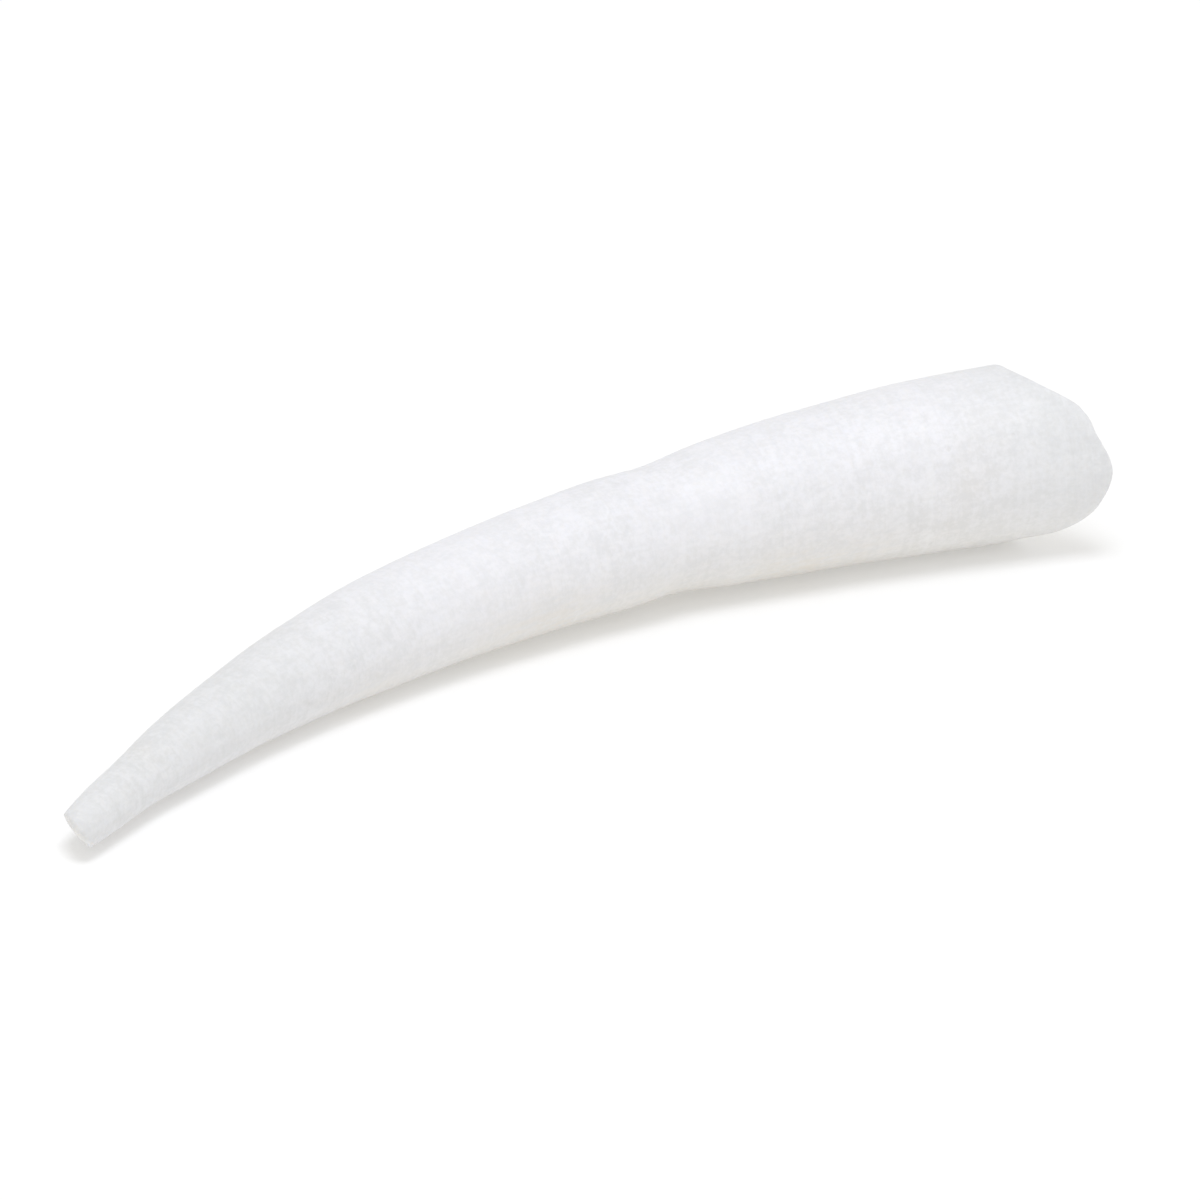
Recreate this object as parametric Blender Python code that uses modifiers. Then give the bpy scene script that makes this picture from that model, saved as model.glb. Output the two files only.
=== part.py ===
"""Tusk shell: one hollow, curved, tapering tube of white lime, open at both ends.

The animal grows the whole shell as one piece, adding ring after ring at the wide lip.  It is
modelled in that order: a ring is drawn at the apex and extruded again and again, each time a
little wider.  The straight tube is then trimmed at both ends, bent along the shell's middle
line and given its wall.

The shell lies on its side on the ground, z = 0.  Its lip looks along +X, its hollow side
faces -Y, and the origin is under the middle of its box.
"""

import math

import bmesh
import bpy
from mathutils import Euler, Matrix, Vector

# Driving dimensions, in metres and degrees.
# A place along the shell is 0 at the apex and 1 at the lip.
# An angle round the tube is 0 on its outer bend, 90 on top and 180 in the hollow of the bend.
SHELL_LENGTH = 0.058        # along the curved middle line
APEX_RADIUS = 0.0009
LIP_RADIUS = 0.00403
TAPER = 0.817               # 1 would be an even cone, less widens sooner
SWELLINGS = (               # (place, spread, added radius) of each swelling or pinch in the cone
    (0.09, 0.037, -0.00007),
    (0.208, 0.03, -0.00004),
    (0.37, 0.20, 0.00024),
    (0.647, 0.033, -0.00018),
    (0.845, 0.16, 0.00027),
)

EVEN_TURN = 40.8            # turn of the middle line that is spread evenly from apex to lip
ELBOW_TURN = 4.6            # turn added at the elbow
ELBOW_PLACE = 0.33
ELBOW_SPREAD = 0.12

APEX_WALL = 0.00048
MIDDLE_WALL = 0.00078
LIP_WALL = 0.00046

LIP_WORN_BACK = 0.0026      # how far the lip has broken back from the full length
LIP_TONGUE = 0.0037         # how far the tongue left in the hollow of the bend stands out
TONGUE_ANGLE = 168.0
TONGUE_HALF_WIDTH = 57.0    # degrees
TONGUE_SQUARENESS = 3.0     # 2 is a soft bump, more has a flatter end and steeper flanks
LIP_NICKS = (               # (angle, half width in degrees, depth) of each nick in the lip
    (147.0, 13.0, 0.00047),
    (192.0, 12.0, 0.00018),
)
LIP_TRIM_FROM = 0.80        # place where the rings start to lean towards the worn lip

APEX_SLANT = 40.0           # of the broken end from square
APEX_SLANT_ANGLE = 137.0    # side of the apex that is left longest
APEX_TRIM_TO = 0.07

LYING_ROLL = 3.00           # of the bend's plane about X, from level
LYING_PITCH = -2.16         # of the bend's plane about Y, from level

SIDES = 32
RINGS = 44
LINE_STEPS = 600            # straight steps that stand for the curved middle line
SHARP_ANGLE = 50.0          # degrees between faces; only the two rims are this sharp

SHELL_COLOUR = (0.87, 0.87, 0.86, 1.0)
SHELL_ROUGHNESS = 0.38


def radius_at(place):
    """Outer radius of the tube at a place along it."""
    radius = APEX_RADIUS + (LIP_RADIUS - APEX_RADIUS) * place**TAPER
    for middle, spread, added in SWELLINGS:
        radius += added * math.exp(-(((place - middle) / spread) ** 2))
    return radius


def wall_at(place):
    """Thickness of the wall, greatest at mid length."""
    between = APEX_WALL + (LIP_WALL - APEX_WALL) * place
    hump = MIDDLE_WALL - (APEX_WALL + LIP_WALL) / 2
    return between + hump * 4 * place * (1 - place)


def heading_at(place):
    """Direction of the middle line in the XY plane, in radians, 0 at the lip."""
    elbow = (1 - math.erf((place - ELBOW_PLACE) / ELBOW_SPREAD)) / 2
    return math.radians(EVEN_TURN * (1 - place) + ELBOW_TURN * elbow)


def eased(share):
    """A smooth step from 0 to 1."""
    share = min(max(share, 0.0), 1.0)
    return share * share * (3 - 2 * share)


def turned_from(angle, middle):
    """Degrees between two angles round the tube, 0 to 180."""
    return abs((angle - middle + 180) % 360 - 180)


def lip_reach(angle):
    """How far the worn lip ends past the full length, at an angle round the tube in degrees."""
    off_tongue = turned_from(angle, TONGUE_ANGLE) / TONGUE_HALF_WIDTH
    reach = LIP_TONGUE * math.exp(-(off_tongue**TONGUE_SQUARENESS)) - LIP_WORN_BACK
    for middle, half_width, depth in LIP_NICKS:
        reach -= depth * math.exp(-((turned_from(angle, middle) / half_width) ** 2))
    return reach


def apex_reach(angle):
    """How far the slanting apex starts from place 0, at an angle round the tube."""
    slope = math.tan(math.radians(APEX_SLANT))
    return -slope * APEX_RADIUS * math.cos(math.radians(angle - APEX_SLANT_ANGLE))


def grow_tube(bm):
    """Extrude a ring along +X, a little wider at every step."""
    upright = Matrix.Rotation(math.radians(90), 4, "Y")
    bmesh.ops.create_circle(bm, segments=SIDES, radius=radius_at(0), matrix=upright)
    edges = bm.edges[:]
    for ring in range(1, RINGS + 1):
        grown = bmesh.ops.extrude_edge_only(bm, edges=edges)["geom"]
        edges = [part for part in grown if isinstance(part, bmesh.types.BMEdge)]
        verts = [part for part in grown if isinstance(part, bmesh.types.BMVert)]
        wider = radius_at(ring / RINGS) / radius_at((ring - 1) / RINGS)
        bmesh.ops.scale(bm, verts=verts, vec=(1, wider, wider))
        bmesh.ops.translate(bm, verts=verts, vec=(SHELL_LENGTH / RINGS, 0, 0))
    bmesh.ops.recalc_face_normals(bm, faces=bm.faces)


def trim_ends(bm):
    """Lean the first rings to the slanting apex and the last ones to the worn lip."""
    for vert in bm.verts:
        place = vert.co.x / SHELL_LENGTH
        angle = math.degrees(math.atan2(vert.co.z, vert.co.y))
        near_lip = eased((place - LIP_TRIM_FROM) / (1 - LIP_TRIM_FROM))
        near_apex = eased(1 - place / APEX_TRIM_TO)
        vert.co.x += lip_reach(angle) * near_lip + apex_reach(angle) * near_apex


def bend(bm):
    """Carry the straight tube onto the middle line, which it follows on past both ends."""
    step = 1 / LINE_STEPS
    line = [Vector((0, 0, 0))]
    for index in range(LINE_STEPS):
        heading = heading_at((index + 0.5) * step)
        line.append(line[-1] + Vector((math.cos(heading), math.sin(heading), 0)) * step * SHELL_LENGTH)
    for vert in bm.verts:
        place = vert.co.x / SHELL_LENGTH
        index = min(max(round(place * LINE_STEPS), 0), LINE_STEPS)
        heading = heading_at(place)
        along = Vector((math.cos(heading), math.sin(heading), 0))
        aside = Vector((-math.sin(heading), math.cos(heading), 0))
        centre = line[index] + along * (vert.co.x - index * step * SHELL_LENGTH)
        vert.co = centre + aside * vert.co.y + Vector((0, 0, vert.co.z))


def lay_down(bm):
    """Tip the shell into its resting place and put the middle of its box over the origin."""
    tip = Euler((math.radians(LYING_ROLL), math.radians(LYING_PITCH), 0)).to_matrix()
    bmesh.ops.rotate(bm, verts=bm.verts, cent=(0, 0, 0), matrix=tip)
    low = [min(vert.co[axis] for vert in bm.verts) for axis in range(3)]
    high = [max(vert.co[axis] for vert in bm.verts) for axis in range(3)]
    shift = (-(low[0] + high[0]) / 2, -(low[1] + high[1]) / 2, -low[2])
    bmesh.ops.translate(bm, verts=bm.verts, vec=shift)


def shell_material():
    """White, faintly glossy lime."""
    material = bpy.data.materials.new("shell")
    material.use_nodes = True
    material.diffuse_color = SHELL_COLOUR
    surface = material.node_tree.nodes["Principled BSDF"]
    surface.inputs["Base Color"].default_value = SHELL_COLOUR
    surface.inputs["Roughness"].default_value = SHELL_ROUGHNESS
    surface.inputs["Metallic"].default_value = 0.0
    return material


def build_shell(collection):
    """The shell: an open tube with its wall added inwards, thickest at mid length."""
    bm = bmesh.new()
    grow_tube(bm)
    shares = [wall_at(vert.co.x / SHELL_LENGTH) / MIDDLE_WALL for vert in bm.verts]
    trim_ends(bm)
    bend(bm)
    lay_down(bm)
    mesh = bpy.data.meshes.new("shell")
    bm.to_mesh(mesh)
    bm.free()
    mesh.materials.append(shell_material())
    mesh.shade_smooth()
    mesh.set_sharp_from_angle(angle=math.radians(SHARP_ANGLE))

    shell = bpy.data.objects.new("shell", mesh)
    collection.objects.link(shell)
    thickness = shell.vertex_groups.new(name="thickness")
    for index, share in enumerate(shares):
        thickness.add([index], share, "REPLACE")
    wall = shell.modifiers.new("wall", "SOLIDIFY")
    wall.thickness = MIDDLE_WALL
    wall.offset = -1
    wall.vertex_group = thickness.name
    return shell


for old in list(bpy.data.objects):
    bpy.data.objects.remove(old, do_unlink=True)
tusk_shell = bpy.data.collections.new("tusk_shell")
bpy.context.scene.collection.children.link(tusk_shell)
build_shell(tusk_shell)
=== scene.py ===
import math

import bpy
import numpy as np
from mathutils import Euler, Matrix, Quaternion, Vector


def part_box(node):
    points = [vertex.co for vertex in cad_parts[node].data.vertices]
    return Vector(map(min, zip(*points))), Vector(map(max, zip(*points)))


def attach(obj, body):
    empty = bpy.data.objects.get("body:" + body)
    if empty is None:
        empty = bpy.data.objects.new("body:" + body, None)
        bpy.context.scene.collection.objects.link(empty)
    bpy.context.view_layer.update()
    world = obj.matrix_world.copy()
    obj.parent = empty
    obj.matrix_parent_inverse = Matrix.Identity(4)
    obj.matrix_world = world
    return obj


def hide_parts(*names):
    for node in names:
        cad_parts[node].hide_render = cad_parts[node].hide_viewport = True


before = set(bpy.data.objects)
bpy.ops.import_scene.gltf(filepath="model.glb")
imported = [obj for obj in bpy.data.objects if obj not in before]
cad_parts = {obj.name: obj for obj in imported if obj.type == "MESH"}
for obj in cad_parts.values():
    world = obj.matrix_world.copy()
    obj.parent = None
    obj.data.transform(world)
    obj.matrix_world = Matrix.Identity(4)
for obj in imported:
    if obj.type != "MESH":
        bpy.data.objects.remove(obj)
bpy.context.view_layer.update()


# ---- The shell ----
# One curved, tapering tube of white lime, open at both ends.  The animal grew it as a single
# piece, ring after ring at the wide lip; the sea then broke the lip and the apex and polished
# the rest.  It is grown straight here, given its wall and its wear, then bent and laid down.

# A place along the shell is 0 at the apex and 1 at the lip.
# An angle round it is 0 on the outer bend, 90 on top and 180 in the hollow of the bend.
SHELL_LENGTH = 0.058        # metres along the curved middle line
APEX_RADIUS = 0.0009
LIP_RADIUS = 0.00403
TAPER = 0.817               # 1 would be an even cone, less widens sooner
SWELLINGS = (               # (place, spread, added radius) of each swelling or pinch in the cone
    (0.09, 0.037, -0.00007),
    (0.208, 0.03, -0.00004),
    (0.37, 0.20, 0.00024),
    (0.647, 0.033, -0.00018),
    (0.845, 0.16, 0.00027),
)
APEX_WALL = 0.00048
MIDDLE_WALL = 0.00078
LIP_WALL = 0.00046
SIDES = 32
RINGS = 148                 # on the outside, which carries the growth lines
BORE_RINGS = 24
EDGE_RING = 0.0030          # place, from each end, of the extra ring that keeps its edge crisp
ROUNDING = 2                # times that subdivision rounds the tube


def radius_at(place):
    """Outer radius of the straight tube."""
    radius = APEX_RADIUS + (LIP_RADIUS - APEX_RADIUS) * place**TAPER
    for middle, spread, added in SWELLINGS:
        radius = radius + added * np.exp(-(((place - middle) / spread) ** 2))
    return radius


def wall_at(place):
    """Thickness of the wall, greatest at mid length."""
    between = APEX_WALL + (LIP_WALL - APEX_WALL) * place
    hump = MIDDLE_WALL - (APEX_WALL + LIP_WALL) / 2
    return between + hump * 4 * place * (1 - place)


# The first ring is drawn at the apex and extruded again and again, a little wider each time, up
# to the lip.  There it turns over the edge and runs back down the bore, where it meets itself.
def rings_along(count):
    """Places of the rings on one side of the wall, from the apex to the lip."""
    return [0.0, EDGE_RING] + [ring / count for ring in range(1, count)] + [1 - EDGE_RING, 1.0]


def ring_radius(place, through):
    """Radius of a ring, on the outside where through is 0 and on the bore where it is 1."""
    return radius_at(place) - wall_at(place) * through


ring_stops = [(place, 0) for place in rings_along(RINGS)]
ring_stops += [(place, 1) for place in reversed(rings_along(BORE_RINGS))]
bpy.ops.object.select_all(action="DESELECT")
bpy.ops.mesh.primitive_circle_add(
    vertices=SIDES, radius=radius_at(0.0), rotation=(0, math.radians(90), 0)
)
shell = bpy.context.object
shell.name = "tusk_shell"
shell.data.name = "tusk_shell"
bpy.ops.object.transform_apply(location=False, rotation=True, scale=False)
bpy.ops.object.mode_set(mode="EDIT")
bpy.ops.mesh.select_all(action="SELECT")
for grown, stop in zip(ring_stops, ring_stops[1:]):
    onward = ((stop[0] - grown[0]) * SHELL_LENGTH, 0, 0)
    bpy.ops.mesh.extrude_region_move(TRANSFORM_OT_translate={"value": onward})
    wider = ring_radius(*stop) / ring_radius(*grown)
    centre = (stop[0] * SHELL_LENGTH, 0, 0)
    bpy.ops.transform.resize(value=(1, wider, wider), center_override=centre)
bpy.ops.mesh.select_all(action="DESELECT")
bpy.ops.mesh.select_non_manifold(extend=False)
bpy.ops.mesh.bridge_edge_loops()
bpy.ops.mesh.select_all(action="SELECT")
bpy.ops.mesh.normals_make_consistent(inside=False)
bpy.ops.object.mode_set(mode="OBJECT")
rounding = shell.modifiers.new("rounding", "SUBSURF")
rounding.levels = ROUNDING
rounding.render_levels = ROUNDING
bpy.ops.object.modifier_apply(modifier=rounding.name)

# Every point of the straight tube, as its length along the shell and its two offsets from the
# middle line, with how near the outside it is: 0 on the bore and 1 on the outside.
points = np.empty(len(shell.data.vertices) * 3)
shell.data.vertices.foreach_get("co", points)
along, aside, above = points.reshape(-1, 3).T.copy()
rounding_loss = (2 + math.cos(math.tau / SIDES)) / 3    # subdivision draws a ring in by this factor
aside /= rounding_loss
above /= rounding_loss
place = np.clip(along / SHELL_LENGTH, 0, 1)
angle = np.degrees(np.arctan2(above, aside))
depth = (radius_at(place) - np.hypot(aside, above)) / wall_at(place)
outside = np.clip(1 - depth, 0, 1)

# The broken ends: the tongue and the nicks of the lip, and the slant of the apex.
LIP_WORN_BACK = 0.0026      # how far the lip has broken back from the full length
LIP_TONGUE = 0.0037         # how far the tongue left in the hollow of the bend stands out
TONGUE_ANGLE = 168.0
TONGUE_HALF_WIDTH = 57.0    # degrees
TONGUE_SQUARENESS = 3.0     # 2 is a soft bump, more has a flatter end and steeper flanks
LIP_NICKS = (               # (angle, half width in degrees, depth) of each nick in the lip
    (147.0, 13.0, 0.00047),
    (192.0, 12.0, 0.00018),
    (262.0, 9.0, 0.00026),
    (321.0, 14.0, 0.00045),
    (20.0, 11.0, 0.00035),
)
LIP_TRIM_FROM = 0.80        # place where the rings start to lean towards the worn lip
APEX_SLANT = 40.0           # degrees from square
APEX_SLANT_ANGLE = 137.0    # side of the apex that is left longest
APEX_TRIM_TO = 0.07


def eased(share):
    """A smooth step from 0 to 1."""
    share = np.clip(share, 0, 1)
    return share * share * (3 - 2 * share)


def turned_from(middle):
    """Degrees between every point's angle and a middle angle, 0 to 180."""
    return np.abs((angle - middle + 180) % 360 - 180)


off_tongue = turned_from(TONGUE_ANGLE) / TONGUE_HALF_WIDTH
lip_reach = LIP_TONGUE * np.exp(-(off_tongue**TONGUE_SQUARENESS)) - LIP_WORN_BACK
for middle, half_width, nick in LIP_NICKS:
    lip_reach -= nick * np.exp(-((turned_from(middle) / half_width) ** 2))
apex_slope = math.tan(math.radians(APEX_SLANT))
slant = -apex_slope * APEX_RADIUS * np.cos(np.radians(angle - APEX_SLANT_ANGLE))
along += lip_reach * eased((place - LIP_TRIM_FROM) / (1 - LIP_TRIM_FROM))
along += slant * eased(1 - place / APEX_TRIM_TO)

# Chips: each edge is broken in short straight runs, its outer and inner side each in its own way.
LIP_CHIP_ZONE = 0.0011      # how far back from the edge a chip disturbs the tube
LIP_RUNS = 26               # straight runs round the edge
LIP_CHIP = 0.000065         # how far a run's corners stray, at most
APEX_CHIP_ZONE = 0.0004
APEX_RUNS = 9
APEX_CHIP = 0.000030
chance = np.random.default_rng(41)


def broken(runs):
    """A line round the tube, -1 to 1, straight between corners that fall by chance."""
    corners = np.sort(chance.uniform(-180, 180, runs))
    return np.interp(angle, corners, chance.uniform(-1, 1, runs), period=360)


def wavering(waves_from, waves_to):
    """A smooth line round the tube, about -1 to 1, made of waves of random height and phase."""
    line = np.zeros_like(angle)
    for waves in range(waves_from, waves_to):
        line += chance.normal() * np.cos(np.radians(waves * angle) + chance.uniform(0, math.tau))
    return line / math.sqrt((waves_to - waves_from) / 2)


lip_chips = LIP_CHIP * (broken(LIP_RUNS) * outside + broken(LIP_RUNS) * (1 - outside))
apex_chips = APEX_CHIP * (broken(APEX_RUNS) * outside + broken(APEX_RUNS) * (1 - outside))
along += lip_chips * eased(1 - (1 - place) * SHELL_LENGTH / LIP_CHIP_ZONE)
along += apex_chips * eased(1 - place * SHELL_LENGTH / APEX_CHIP_ZONE)

# A dull, greyer band runs along each broken edge, inside and out.
LIP_BRINK = 0.0022          # width of the band
APEX_BRINK = 0.0016
brink_lip = eased(1 - (1 - place) * SHELL_LENGTH / LIP_BRINK)
brink_apex = eased(1 - place * SHELL_LENGTH / APEX_BRINK)

# Growth lines on the outside: each swells slowly from the apex side and drops on the lip side.
# A few stand higher, where growth stopped for a season.
LINE_SPACING = (0.0003, 0.0013)     # least and most
LINE_HEIGHT = (0.000003, 0.000014)
LINE_TAIL = 0.00040         # length of the slow swell
LINE_FRONT = 0.00012        # length of the drop
LINES_FROM = -0.001         # just past the ends of the tube
LINES_TO = SHELL_LENGTH + 0.002
CHECKS = (                  # (place, height) of each higher line
    (0.205, 0.000014),
    (0.415, 0.000018),
    (0.632, 0.000024),
    (0.775, 0.000020),
    (0.868, 0.000024),
    (0.921, 0.000022),
)
MARGIN_LEAN = 0.10          # slope of the growing lip, which was ahead on the outer bend
MARGIN_WAVER = 0.00010
LINE_FADING = 0.3           # half of the share that a line loses on its weakest side

margin = along - MARGIN_LEAN * aside - MARGIN_WAVER * wavering(2, 5)
lines = [(check * SHELL_LENGTH, line_height) for check, line_height in CHECKS]
line_at = LINES_FROM
while line_at < LINES_TO:
    line_at += chance.uniform(*LINE_SPACING)
    lines.append((line_at, chance.uniform(*LINE_HEIGHT)))
growth = np.zeros_like(along)
for line_at, line_height in lines:
    past = margin - line_at
    behind = np.exp(np.minimum(past, 0) / LINE_TAIL)
    ahead = np.exp(-((np.maximum(past, 0) / LINE_FRONT) ** 2))
    fading = 1 - LINE_FADING + LINE_FADING * np.cos(np.radians(angle) + chance.uniform(0, math.tau))
    growth = np.maximum(growth, line_height * fading * behind * ahead)

# The tube is never quite round or even: slow swells, faint ribs and a few shallow dents.
SWELLS = (0.0047, 0.0071, 0.0110)   # wave lengths
SWELL_STEEPNESS = 0.0010            # height over length
RIB_COUNT = 17
RIB_HEIGHT = 0.000005
RIB_WANDER = 2.0            # radians of a rib's own wave
DENTS = (                   # (place, angle, reach, depth)
    (0.31, 122.0, 0.0016, 0.000030),
    (0.47, 88.0, 0.0011, 0.000022),
    (0.58, 151.0, 0.0019, 0.000035),
    (0.73, 205.0, 0.0015, 0.000030),
    (0.81, 112.0, 0.0013, 0.000028),
    (0.52, 300.0, 0.0021, 0.000040),
    (0.69, 20.0, 0.0018, 0.000034),
    (0.950, 66.0, 0.0028, 0.000080),
    (0.962, 243.0, 0.0011, 0.000120),
    (0.950, 338.0, 0.0015, 0.000140),
)
relief = growth - growth.mean()
for wave in SWELLS:
    relief += SWELL_STEEPNESS * wave * np.sin(margin * math.tau / wave + chance.uniform(0, math.tau))
relief += RIB_HEIGHT * np.cos(np.radians(RIB_COUNT * angle) + RIB_WANDER * wavering(1, 4))
for middle, side_angle, dent_reach, dent_depth in DENTS:
    around = np.radians(turned_from(side_angle)) * radius_at(place)
    away = np.hypot(along - middle * SHELL_LENGTH, around) / dent_reach
    relief -= dent_depth * np.exp(-(away**2))

# The lower side, towards the hollow of the bend, gets a painted warm shade: a darker cream that
# stands in for the shade there and the warm light bounced up onto it.  Earth left a few faint
# stains, most of them on that side.
PAINTED_SHADE_ANGLE = 240.0     # middle of that side
PAINTED_SHADE_HALF_WIDTH = 55.0
STAIN_SLENDERNESS = 0.6     # a stain's width over its length
STAINS = (                  # (place, angle, reach, strength) of each stain
    (0.335, 226.0, 0.0017, 0.35),
    (0.515, 222.0, 0.0024, 0.45),
    (0.745, 224.0, 0.0019, 0.55),
    (0.790, 218.0, 0.0015, 0.40),
    (0.640, 262.0, 0.0030, 0.50),
    (0.255, 300.0, 0.0026, 0.45),
    (0.880, 20.0, 0.0028, 0.35),
)
painted_shade_side = np.exp(-((turned_from(PAINTED_SHADE_ANGLE) / PAINTED_SHADE_HALF_WIDTH) ** 2))
earth = np.zeros_like(along)
for middle, side_angle, stain_reach, strength in STAINS:
    around = np.radians(turned_from(side_angle)) * radius_at(place)
    away = np.hypot((along - middle * SHELL_LENGTH) * STAIN_SLENDERNESS, around) / stain_reach
    earth = np.maximum(earth, strength * np.exp(-(away**2)))

# The relief stands on the outside only and fades through the wall.
raised = 1 + relief * outside / np.hypot(aside, above)
aside *= raised
above *= raised

# The finish follows the straight tube, so every point keeps its place on it.  It also keeps its
# share of each mark, 0 to 1 or a little more.
straight = shell.data.attributes.new("straight", "FLOAT_VECTOR", "POINT")
straight.data.foreach_set("vector", np.column_stack((along, aside, above)).ravel())
marks = {
    "bore": 1 - outside,
    "ridge": growth / LINE_HEIGHT[1],
    "brink": np.maximum(brink_lip, brink_apex),
    # the painted warm shade of the lower side
    "painted_shade": painted_shade_side * outside,
    "stain": earth * outside,
}
for mark_name, shares in marks.items():
    mark = shell.data.attributes.new(mark_name, "FLOAT", "POINT")
    mark.data.foreach_set("value", shares)

# The bend: the tube is carried onto its middle line, a curve in a level plane.
EVEN_TURN = 40.8            # degrees that the line turns evenly from apex to lip
ELBOW_TURN = 4.6            # turn added at the elbow
ELBOW_PLACE = 0.33
ELBOW_SPREAD = 0.12
LINE_STEPS = 600            # straight steps that stand for the curved line
PAST_THE_ENDS = 0.05        # places by which the line runs on past both ends of the tube


def heading_at(place):
    """Direction of the middle line in radians, 0 at the lip."""
    elbow = (1 - math.erf((place - ELBOW_PLACE) / ELBOW_SPREAD)) / 2
    return math.radians(EVEN_TURN * (1 - place) + ELBOW_TURN * elbow)


stations = np.linspace(-PAST_THE_ENDS, 1 + PAST_THE_ENDS, LINE_STEPS + 1)
headings = np.array([heading_at(station) for station in stations])
step = SHELL_LENGTH * (stations[1] - stations[0])
halfway = (headings[1:] + headings[:-1]) / 2
line_x = np.concatenate(([0.0], np.cumsum(np.cos(halfway) * step)))
line_y = np.concatenate(([0.0], np.cumsum(np.sin(halfway) * step)))
station = along / SHELL_LENGTH
heading = np.interp(station, stations, headings)
bent = np.column_stack((
    np.interp(station, stations, line_x) - np.sin(heading) * aside,
    np.interp(station, stations, line_y) + np.cos(heading) * aside,
    above,
))

# It comes to rest on its side, tipped a little, in the box of the frame's shell.
LYING_ROLL = 3.00           # degrees of the bend's plane about X, from level
LYING_PITCH = -2.16         # degrees about Y
lying = Euler((math.radians(LYING_ROLL), math.radians(LYING_PITCH), 0)).to_matrix()
laid = bent @ np.array(lying).T
frame_low, frame_high = (np.array(corner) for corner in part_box("shell"))
shift = (frame_low + frame_high) / 2 - (laid.min(axis=0) + laid.max(axis=0)) / 2
shift[2] = frame_low[2] - laid[:, 2].min()
laid += shift
shell.data.vertices.foreach_set("co", laid.ravel())
shell.data.update()
bpy.ops.object.shade_smooth()


# The finish: hard white lime with a dull gloss, with painted shade in many small low spots of its
# relief, so that it shows a soft mottle along with the fine threads of its growth.
class Value:
    """A shader socket that sums, differences and products can be written with."""

    def __init__(self, finish, socket):
        self.finish = finish
        self.socket = socket

    def math(self, operation, first, second):
        return self.finish.node("Math", {"operation": operation}, {0: first, 1: second})

    def __add__(self, other):
        return self.math("ADD", self, other)

    __radd__ = __add__

    def __mul__(self, other):
        return self.math("MULTIPLY", self, other)

    __rmul__ = __mul__

    def __sub__(self, other):
        return self.math("SUBTRACT", self, other)

    def __rsub__(self, other):
        return self.math("SUBTRACT", other, self)


class Finish:
    """A material in the making."""

    def __init__(self, name):
        self.material = bpy.data.materials.new(name)
        self.material.use_nodes = True
        self.tree = self.material.node_tree
        self.shader = self.tree.nodes["Principled BSDF"]

    def feed(self, socket, value):
        """Link a value to a socket, or set the socket to a plain number, colour or vector."""
        if isinstance(value, Value):
            self.tree.links.new(value.socket, socket)
        else:
            socket.default_value = value

    def node(self, kind, settings, inputs, output=0):
        """Add a shader node: its settings, then its inputs by name or number."""
        node = self.tree.nodes.new("ShaderNode" + kind)
        for name, setting in settings.items():
            setattr(node, name, setting)
        for name, value in inputs.items():
            self.feed(node.inputs[name], value)
        return Value(self, node.outputs[output])

    def mask(self, value, low, high):
        """0 where value is at low, 1 at high, eased between; low may be the larger of the two."""
        settings = {"interpolation_type": "SMOOTHSTEP"}
        return self.node("MapRange", settings, {"Value": value, "From Min": low, "From Max": high})

    def blend(self, factor, first, second):
        """Mix two colours."""
        settings = {"data_type": "RGBA"}
        return self.node("Mix", settings, {0: factor, 6: first, 7: second}, output=2)


lime = Finish("white_lime")
on_tube = lime.node("Attribute", {"attribute_name": "straight"}, {}, output="Vector")
in_bore = lime.node("Attribute", {"attribute_name": "bore"}, {}, output="Fac")
on_ridge = lime.node("Attribute", {"attribute_name": "ridge"}, {}, output="Fac")
on_brink = lime.node("Attribute", {"attribute_name": "brink"}, {}, output="Fac")
# the painted warm shade of the lower side
on_painted_shade = lime.node("Attribute", {"attribute_name": "painted_shade"}, {}, output="Fac")
on_stain = lime.node("Attribute", {"attribute_name": "stain"}, {}, output="Fac")

# Patterns without a direction: clouds, mottle, grain, and pinholes where the clouds are densest.
CLOUD = {"Scale": 170.0, "Detail": 3.0}     # scales are repeats per metre
MOTTLE = {"Scale": 1150.0, "Detail": 4.0, "Roughness": 0.65}
GRAIN = {"Scale": 4200.0, "Detail": 2.0, "Roughness": 0.6}
PINHOLES = {"Scale": 900.0, "Randomness": 1.0}
PINHOLE_SLOPE = (0.13, 0.06)                # from its edge to its floor, as shares of the spacing
PITTED_CLOUD = (0.50, 0.62)                 # of cloud, from no pinholes to full ones
here = lime.node("TexCoord", {}, {}, output="Object")
cloud = lime.node("TexNoise", {}, {"Vector": here, **CLOUD})
mottle = lime.node("TexNoise", {}, {"Vector": here, **MOTTLE})
grain = lime.node("TexNoise", {}, {"Vector": here, **GRAIN})
pinholes = lime.node("TexVoronoi", {}, {"Vector": here, **PINHOLES}, output="Distance")
pitted = lime.mask(pinholes, *PINHOLE_SLOPE) * lime.mask(cloud, *PITTED_CLOUD)

# Patterns of growth: threads and bands run round the tube, not quite evenly, and streaks along it.
THREADS = {"Scale": 3400.0, "Detail": 2.0, "Roughness": 0.6}
BANDS = {"Scale": 420.0, "Detail": 3.0, "Roughness": 0.6}
STREAKS = {"Scale": 13.0, "Detail": 4.0, "Roughness": 0.65}     # repeats per radian
STREAK_SQUEEZE = 45.0       # radians that a metre along the tube counts for
CLOUD_PUSH = 0.0009         # how far the clouds push the threads and bands along the tube
MOTTLE_PUSH = 0.00012
ROUND_ONLY = (0.0, 1.0, 1.0)
tube_along = lime.node("SeparateXYZ", {}, {"Vector": on_tube}, output="X")
grown_at = tube_along + CLOUD_PUSH * cloud + MOTTLE_PUSH * mottle
threads = lime.node("TexNoise", {"noise_dimensions": "1D"}, {"W": grown_at, **THREADS})
bands = lime.node("TexNoise", {"noise_dimensions": "1D"}, {"W": grown_at, **BANDS})
sideways = lime.node("VectorMath", {"operation": "MULTIPLY"}, {0: on_tube, 1: ROUND_ONLY})
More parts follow.
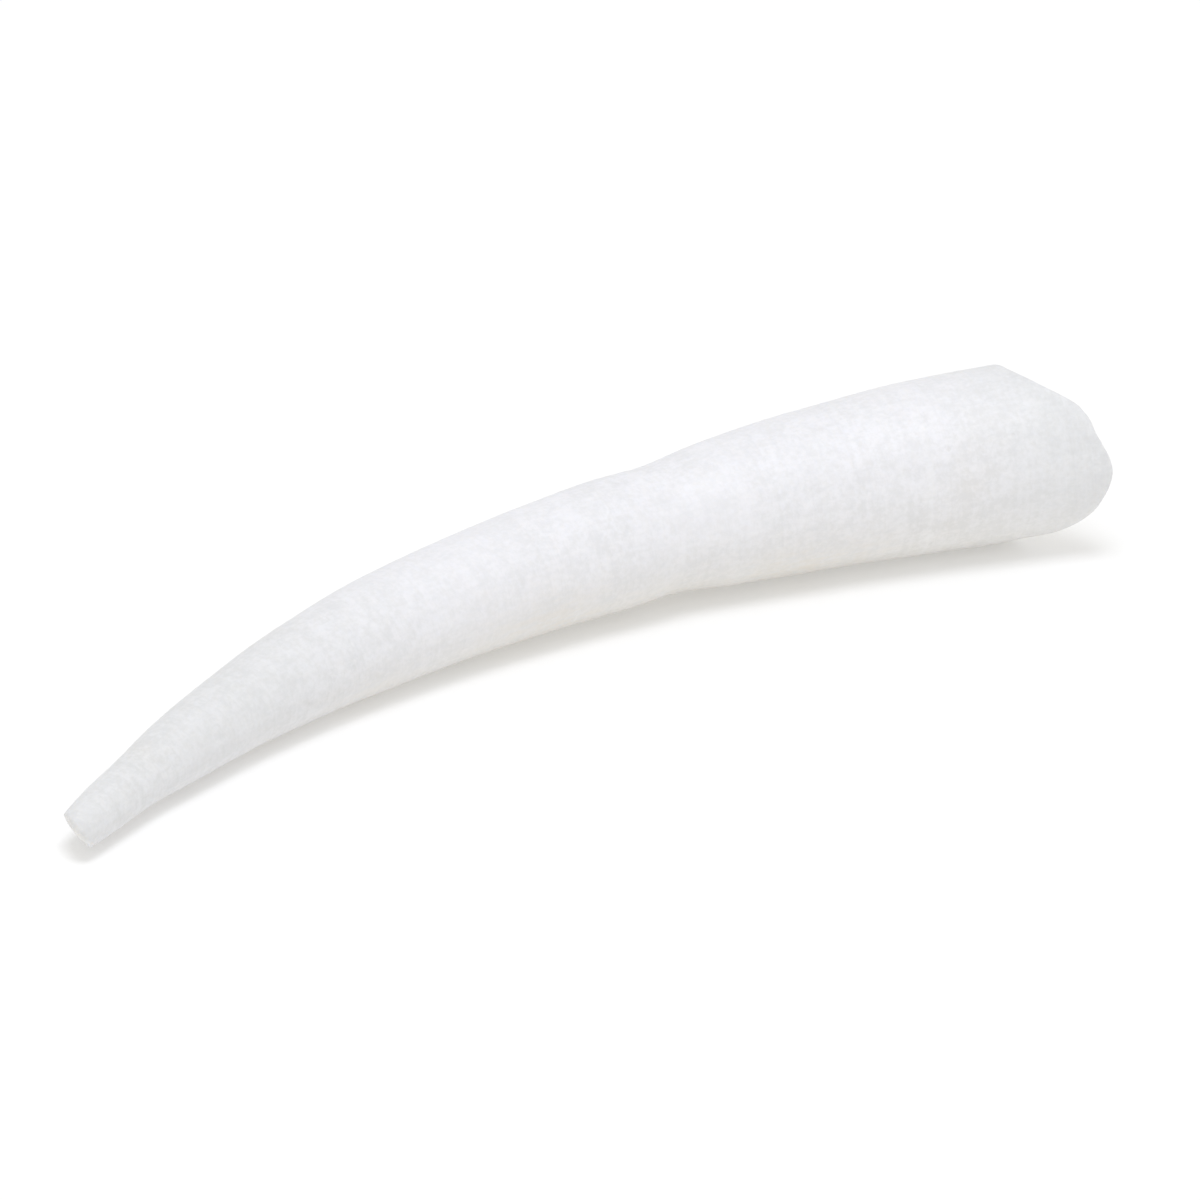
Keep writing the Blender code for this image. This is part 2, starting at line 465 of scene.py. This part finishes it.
outward = lime.node("VectorMath", {"operation": "NORMALIZE"}, {0: sideways})
squeezed = {0: on_tube, 1: (STREAK_SQUEEZE, 0.0, 0.0), 2: outward}
streak_space = lime.node("VectorMath", {"operation": "MULTIPLY_ADD"}, squeezed)
streaks = lime.node("TexNoise", {}, {"Vector": streak_space, **STREAKS})

# The lime is white and greyer towards both ends.  The lower side gets a painted warm shade, a
# darker cream that stands in for shade and warm bounced light.
WHITE = (0.829, 0.825, 0.848, 1.0)
PAINTED_WARM_SHADE = (0.815, 0.800, 0.775, 1.0)
WARM_SHADE_STRENGTH = 0.70
WARM_SHADE_IN_STREAKS = 0.40     # strength that the streaks add
APEX_GREY = (0.746, 0.747, 0.750, 1.0)
APEX_GREYED = (0.010, 0.027)        # metres along the tube, from full grey to none
APEX_STRENGTH = 0.90
LIP_GREY = (0.751, 0.756, 0.763, 1.0)
LIP_GREYED = (SHELL_LENGTH - 0.0080, SHELL_LENGTH + 0.0002)     # from none to full
LIP_STRENGTH = 0.88
GREY_LOST_IN_SHADE = 0.70      # strength that either grey loses on the lower side: painted light that lifts its shade
near_apex = 1 - lime.mask(tube_along, *APEX_GREYED)
near_lip = lime.mask(tube_along, *LIP_GREYED)
# painted warm shade on the lower side, none near the apex
warm_shade_share = on_painted_shade * (1 - near_apex) * (WARM_SHADE_STRENGTH + WARM_SHADE_IN_STREAKS * streaks)
colour = lime.blend(warm_shade_share, WHITE, PAINTED_WARM_SHADE)
colour = lime.blend(near_apex * (APEX_STRENGTH - GREY_LOST_IN_SHADE * on_painted_shade), colour, APEX_GREY)
colour = lime.blend(near_lip * (LIP_STRENGTH - GREY_LOST_IN_SHADE * on_painted_shade), colour, LIP_GREY)

# Painted shade darkens the low spots of the patterns, most in the clouds, which gives a soft mottle.
# The raised growth lines are whiter, partly their paler lime and partly a painted highlight on their
# relief.
# The patterns are summed in shares that add up to one; where the sum is low, as in the low spots of
# the bumps, the colour gets the painted shade.
LOW_SPOT_SHADE = (0.905, 0.907, 0.896)   # share of the colour that is left in a spot with painted shade
LOW_SPOT_RANGE = (0.62, 0.38)            # of the summed patterns, from no painted shade to full
LOW_SPOT_SHADE_STRENGTH = 0.35
LOW_SPOT_SHADE_IN_CLOUD = 1.30                # strength that a cloud adds
RIDGE_PALE_AND_HIGHLIGHT = (0.845, 0.846, 0.842, 1.0)
RIDGE_SHOWS = (0.15, 1.30)          # height of a growth line times cloud, from none to full
RIDGE_STRENGTH = 0.7
pattern_sum = 0.10 * threads + 0.10 * bands + 0.33 * mottle + 0.15 * streaks + 0.32 * grain
shaded_low_spots = lime.mask(pattern_sum, *LOW_SPOT_RANGE) * (LOW_SPOT_SHADE_STRENGTH + LOW_SPOT_SHADE_IN_CLOUD * cloud)
low_spot_shade_colour = lime.node("VectorMath", {"operation": "MULTIPLY"}, {0: colour, 1: LOW_SPOT_SHADE})
colour = lime.blend(shaded_low_spots, colour, low_spot_shade_colour)
# partly paler lime, partly a painted highlight on the raised growth lines
ridge_highlight_share = lime.mask(on_ridge * cloud, *RIDGE_SHOWS) * RIDGE_STRENGTH * mottle
colour = lime.blend(ridge_highlight_share, colour, RIDGE_PALE_AND_HIGHLIGHT)

# Earth has left a faint tan, in the marked stains and thinly in the densest clouds.
STAIN_TAN = (0.740, 0.680, 0.580, 1.0)
STAIN_SPOTS = (0.75, 1.25)          # of mottle and streaks together, from none to full
CLOUD_STAIN = (0.56, 0.76)          # of cloud, from none to full
CLOUD_STAIN_STRENGTH = 0.2
cloud_stain = lime.mask(cloud, *CLOUD_STAIN) * CLOUD_STAIN_STRENGTH * streaks
marked_stain = on_stain * lime.mask(mottle + streaks, *STAIN_SPOTS)
colour = lime.blend(cloud_stain + marked_stain, colour, STAIN_TAN)

# The bore has a smoother, creamier lining, with tan rings and streaks.
BORE_CREAM = (0.805, 0.794, 0.768, 1.0)
BORE_TAN = (0.745, 0.725, 0.688, 1.0)
TAN_RINGS = (0.60, 0.40)    # of streaks and bands in equal parts, from none to full
LINING_STRENGTH = 0.9
tan = lime.mask(0.5 * streaks + 0.5 * bands, *TAN_RINGS)
lining = lime.blend(tan, BORE_CREAM, BORE_TAN)
colour = lime.blend(in_bore * LINING_STRENGTH, colour, lining)

# The broken edges are dull and grey in spots, and the pinholes darker.  On the lower side the grey
# is less, painted light that lifts the shade there.
BRINK_GREY = (0.600, 0.600, 0.602, 1.0)
BRINK_STRENGTH = 0.50
# painted light: the brink grey is weaker on the shaded lower side
BRINK_LOST_IN_SHADE = 0.35
BRINK_SPOTS = (0.40, 0.64)  # of mottle, from none to full
PIT_GREY = (0.520, 0.500, 0.460, 1.0)
PIT_STRENGTH = 0.15
dulled = on_brink * (BRINK_STRENGTH - BRINK_LOST_IN_SHADE * on_painted_shade) * lime.mask(mottle, *BRINK_SPOTS)
colour = lime.blend(dulled, colour, BRINK_GREY)
colour = lime.blend(pitted * PIT_STRENGTH, colour, PIT_GREY)
lime.feed(lime.shader.inputs["Base Color"], colour)

# The gloss is duller in the mottle and on the broken edges.
GLOSS = 0.34                # least roughness
MOTTLE_DULLNESS = 0.20
BRINK_DULLNESS = 0.20
roughness = GLOSS + MOTTLE_DULLNESS * mottle + BRINK_DULLNESS * on_brink
lime.feed(lime.shader.inputs["Roughness"], roughness)

# The same patterns stand 5 to 17 thousandths of a millimetre high.
THREAD_HEIGHT = 0.000005
BAND_HEIGHT = 0.000007
MOTTLE_HEIGHT = 0.000017
GRAIN_HEIGHT = 0.000006
STREAK_HEIGHT = 0.000009
PIT_DEPTH = 0.000015
height = THREAD_HEIGHT * threads + BAND_HEIGHT * bands + MOTTLE_HEIGHT * mottle
height = height + GRAIN_HEIGHT * grain + STREAK_HEIGHT * streaks - PIT_DEPTH * pitted
bumps = lime.node("Bump", {}, {"Strength": 1.0, "Distance": 1.0, "Height": height}, output="Normal")
lime.feed(lime.shader.inputs["Normal"], bumps)

# Light goes a little way into lime.  The daylight that comes through the thin wall and lights the
# bore is a faint glow there, weaker at the broken edges.
LIME_IOR = 1.55
LIME_SCATTER = 0.25         # share of the light that goes in
SCATTER_REACH = 0.0008
SCATTER_COLOURS = (1.0, 0.92, 0.80)     # share of that reach for red, green and blue
DARK = (0.0, 0.0, 0.0, 1.0)
DAYLIGHT = (1.000, 0.985, 0.955, 1.0)
GLOW_STRENGTH = 0.165
GLOW_LOST_AT_BRINK = 0.5
glow = lime.blend(in_bore * (1 - GLOW_LOST_AT_BRINK * on_brink), DARK, DAYLIGHT)
lime.feed(lime.shader.inputs["Emission Color"], glow)
lime.shader.inputs["Emission Strength"].default_value = GLOW_STRENGTH
lime.shader.inputs["Subsurface Weight"].default_value = LIME_SCATTER
lime.shader.inputs["Subsurface Radius"].default_value = SCATTER_COLOURS
lime.shader.inputs["Subsurface Scale"].default_value = SCATTER_REACH
lime.shader.inputs["IOR"].default_value = LIME_IOR
shell.data.materials.append(lime.material)

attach(shell, "root")
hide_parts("shell")


# ---- The table ----
# A plain board under the shell, larger than any view of it.  It has a matt, pale paint and glows
# a little, so that it stays white right up to the shell's soft shadow.
BOARD_SIZE = 8.0
BOARD_PAINT = (0.68, 0.68, 0.68, 1.0)
BOARD_DULLNESS = 0.9
BOARD_GLOW = (1.0, 0.985, 0.945, 1.0)
BOARD_GLOW_STRENGTH = 0.284
bpy.ops.object.select_all(action="DESELECT")
bpy.ops.mesh.primitive_plane_add(size=BOARD_SIZE)
board = bpy.context.object
board.name = "white_board"
paint = Finish("white_paint")
paint.shader.inputs["Base Color"].default_value = BOARD_PAINT
paint.shader.inputs["Roughness"].default_value = BOARD_DULLNESS
paint.shader.inputs["Specular IOR Level"].default_value = 0.0
paint.shader.inputs["Emission Color"].default_value = BOARD_GLOW
paint.shader.inputs["Emission Strength"].default_value = BOARD_GLOW_STRENGTH
board.data.materials.append(paint.material)


# ---- The light ----
# A bright white room, and one square soft lamp that hangs high above the shell, a little to the
# viewer's side, and faces it.
ROOM_WHITE = (1.0, 1.0, 1.0, 1.0)
ROOM_BRIGHTNESS = 0.755
LAMP_TURN = math.radians(-17.0)     # from straight in front
LAMP_HEIGHT = math.radians(76.0)    # above level
LAMP_DISTANCE = 0.60
LAMP_SIZE = 0.25
LAMP_POWER = 1.45                   # watts
LAMP_COLOUR = (0.93, 0.95, 1.0)
world = bpy.data.worlds.new("white_room")
world.use_nodes = True
world.node_tree.nodes["Background"].inputs["Color"].default_value = ROOM_WHITE
world.node_tree.nodes["Background"].inputs["Strength"].default_value = ROOM_BRIGHTNESS
bpy.context.scene.world = world

lamp_out = math.cos(LAMP_HEIGHT) * LAMP_DISTANCE
lamp_spot = Vector((
    math.sin(LAMP_TURN) * lamp_out,
    -math.cos(LAMP_TURN) * lamp_out,
    math.sin(LAMP_HEIGHT) * LAMP_DISTANCE,
))
bpy.ops.object.light_add(type="AREA", location=lamp_spot)
lamp = bpy.context.object
lamp.name = "soft_lamp"
lamp.rotation_euler = (-lamp_spot).to_track_quat("-Z", "Y").to_euler()
lamp.data.size = LAMP_SIZE
lamp.data.energy = LAMP_POWER
lamp.data.color = LAMP_COLOUR


# ---- The camera ----
# A long lens that looks down on the shell from its hollow side, aimed at the middle of what it
# sees of it.
VIEW_TURN = math.radians(-17.0)     # from looking along +Y
VIEW_HEIGHT = math.radians(26.4)    # above level
VIEW_ROLL = math.radians(1.46)      # about the line of sight
VIEW_DISTANCE = 0.60
VIEW_LENS = 400.0                   # millimetres
NEAREST_SEEN = 0.01                 # metres from the camera
look = Vector((
    -math.sin(VIEW_TURN) * math.cos(VIEW_HEIGHT),
    math.cos(VIEW_TURN) * math.cos(VIEW_HEIGHT),
    -math.sin(VIEW_HEIGHT),
))
across = Vector((math.cos(VIEW_TURN), math.sin(VIEW_TURN), 0))
upward = across.cross(look)
rolled = Quaternion(look, -VIEW_ROLL)
across.rotate(rolled)
upward.rotate(rolled)
target = Vector((0, 0, 0))
for direction in (across, upward, look):
    seen = laid @ np.array(direction)
    target += direction * float(seen.min() + seen.max()) / 2
bpy.ops.object.camera_add(location=target - look * VIEW_DISTANCE)
camera = bpy.context.object
camera.rotation_euler = (rolled @ look.to_track_quat("-Z", "Y")).to_euler()
camera.data.lens = VIEW_LENS
camera.data.clip_start = NEAREST_SEEN
bpy.context.scene.camera = camera
bpy.context.scene.view_settings.view_transform = "Standard"
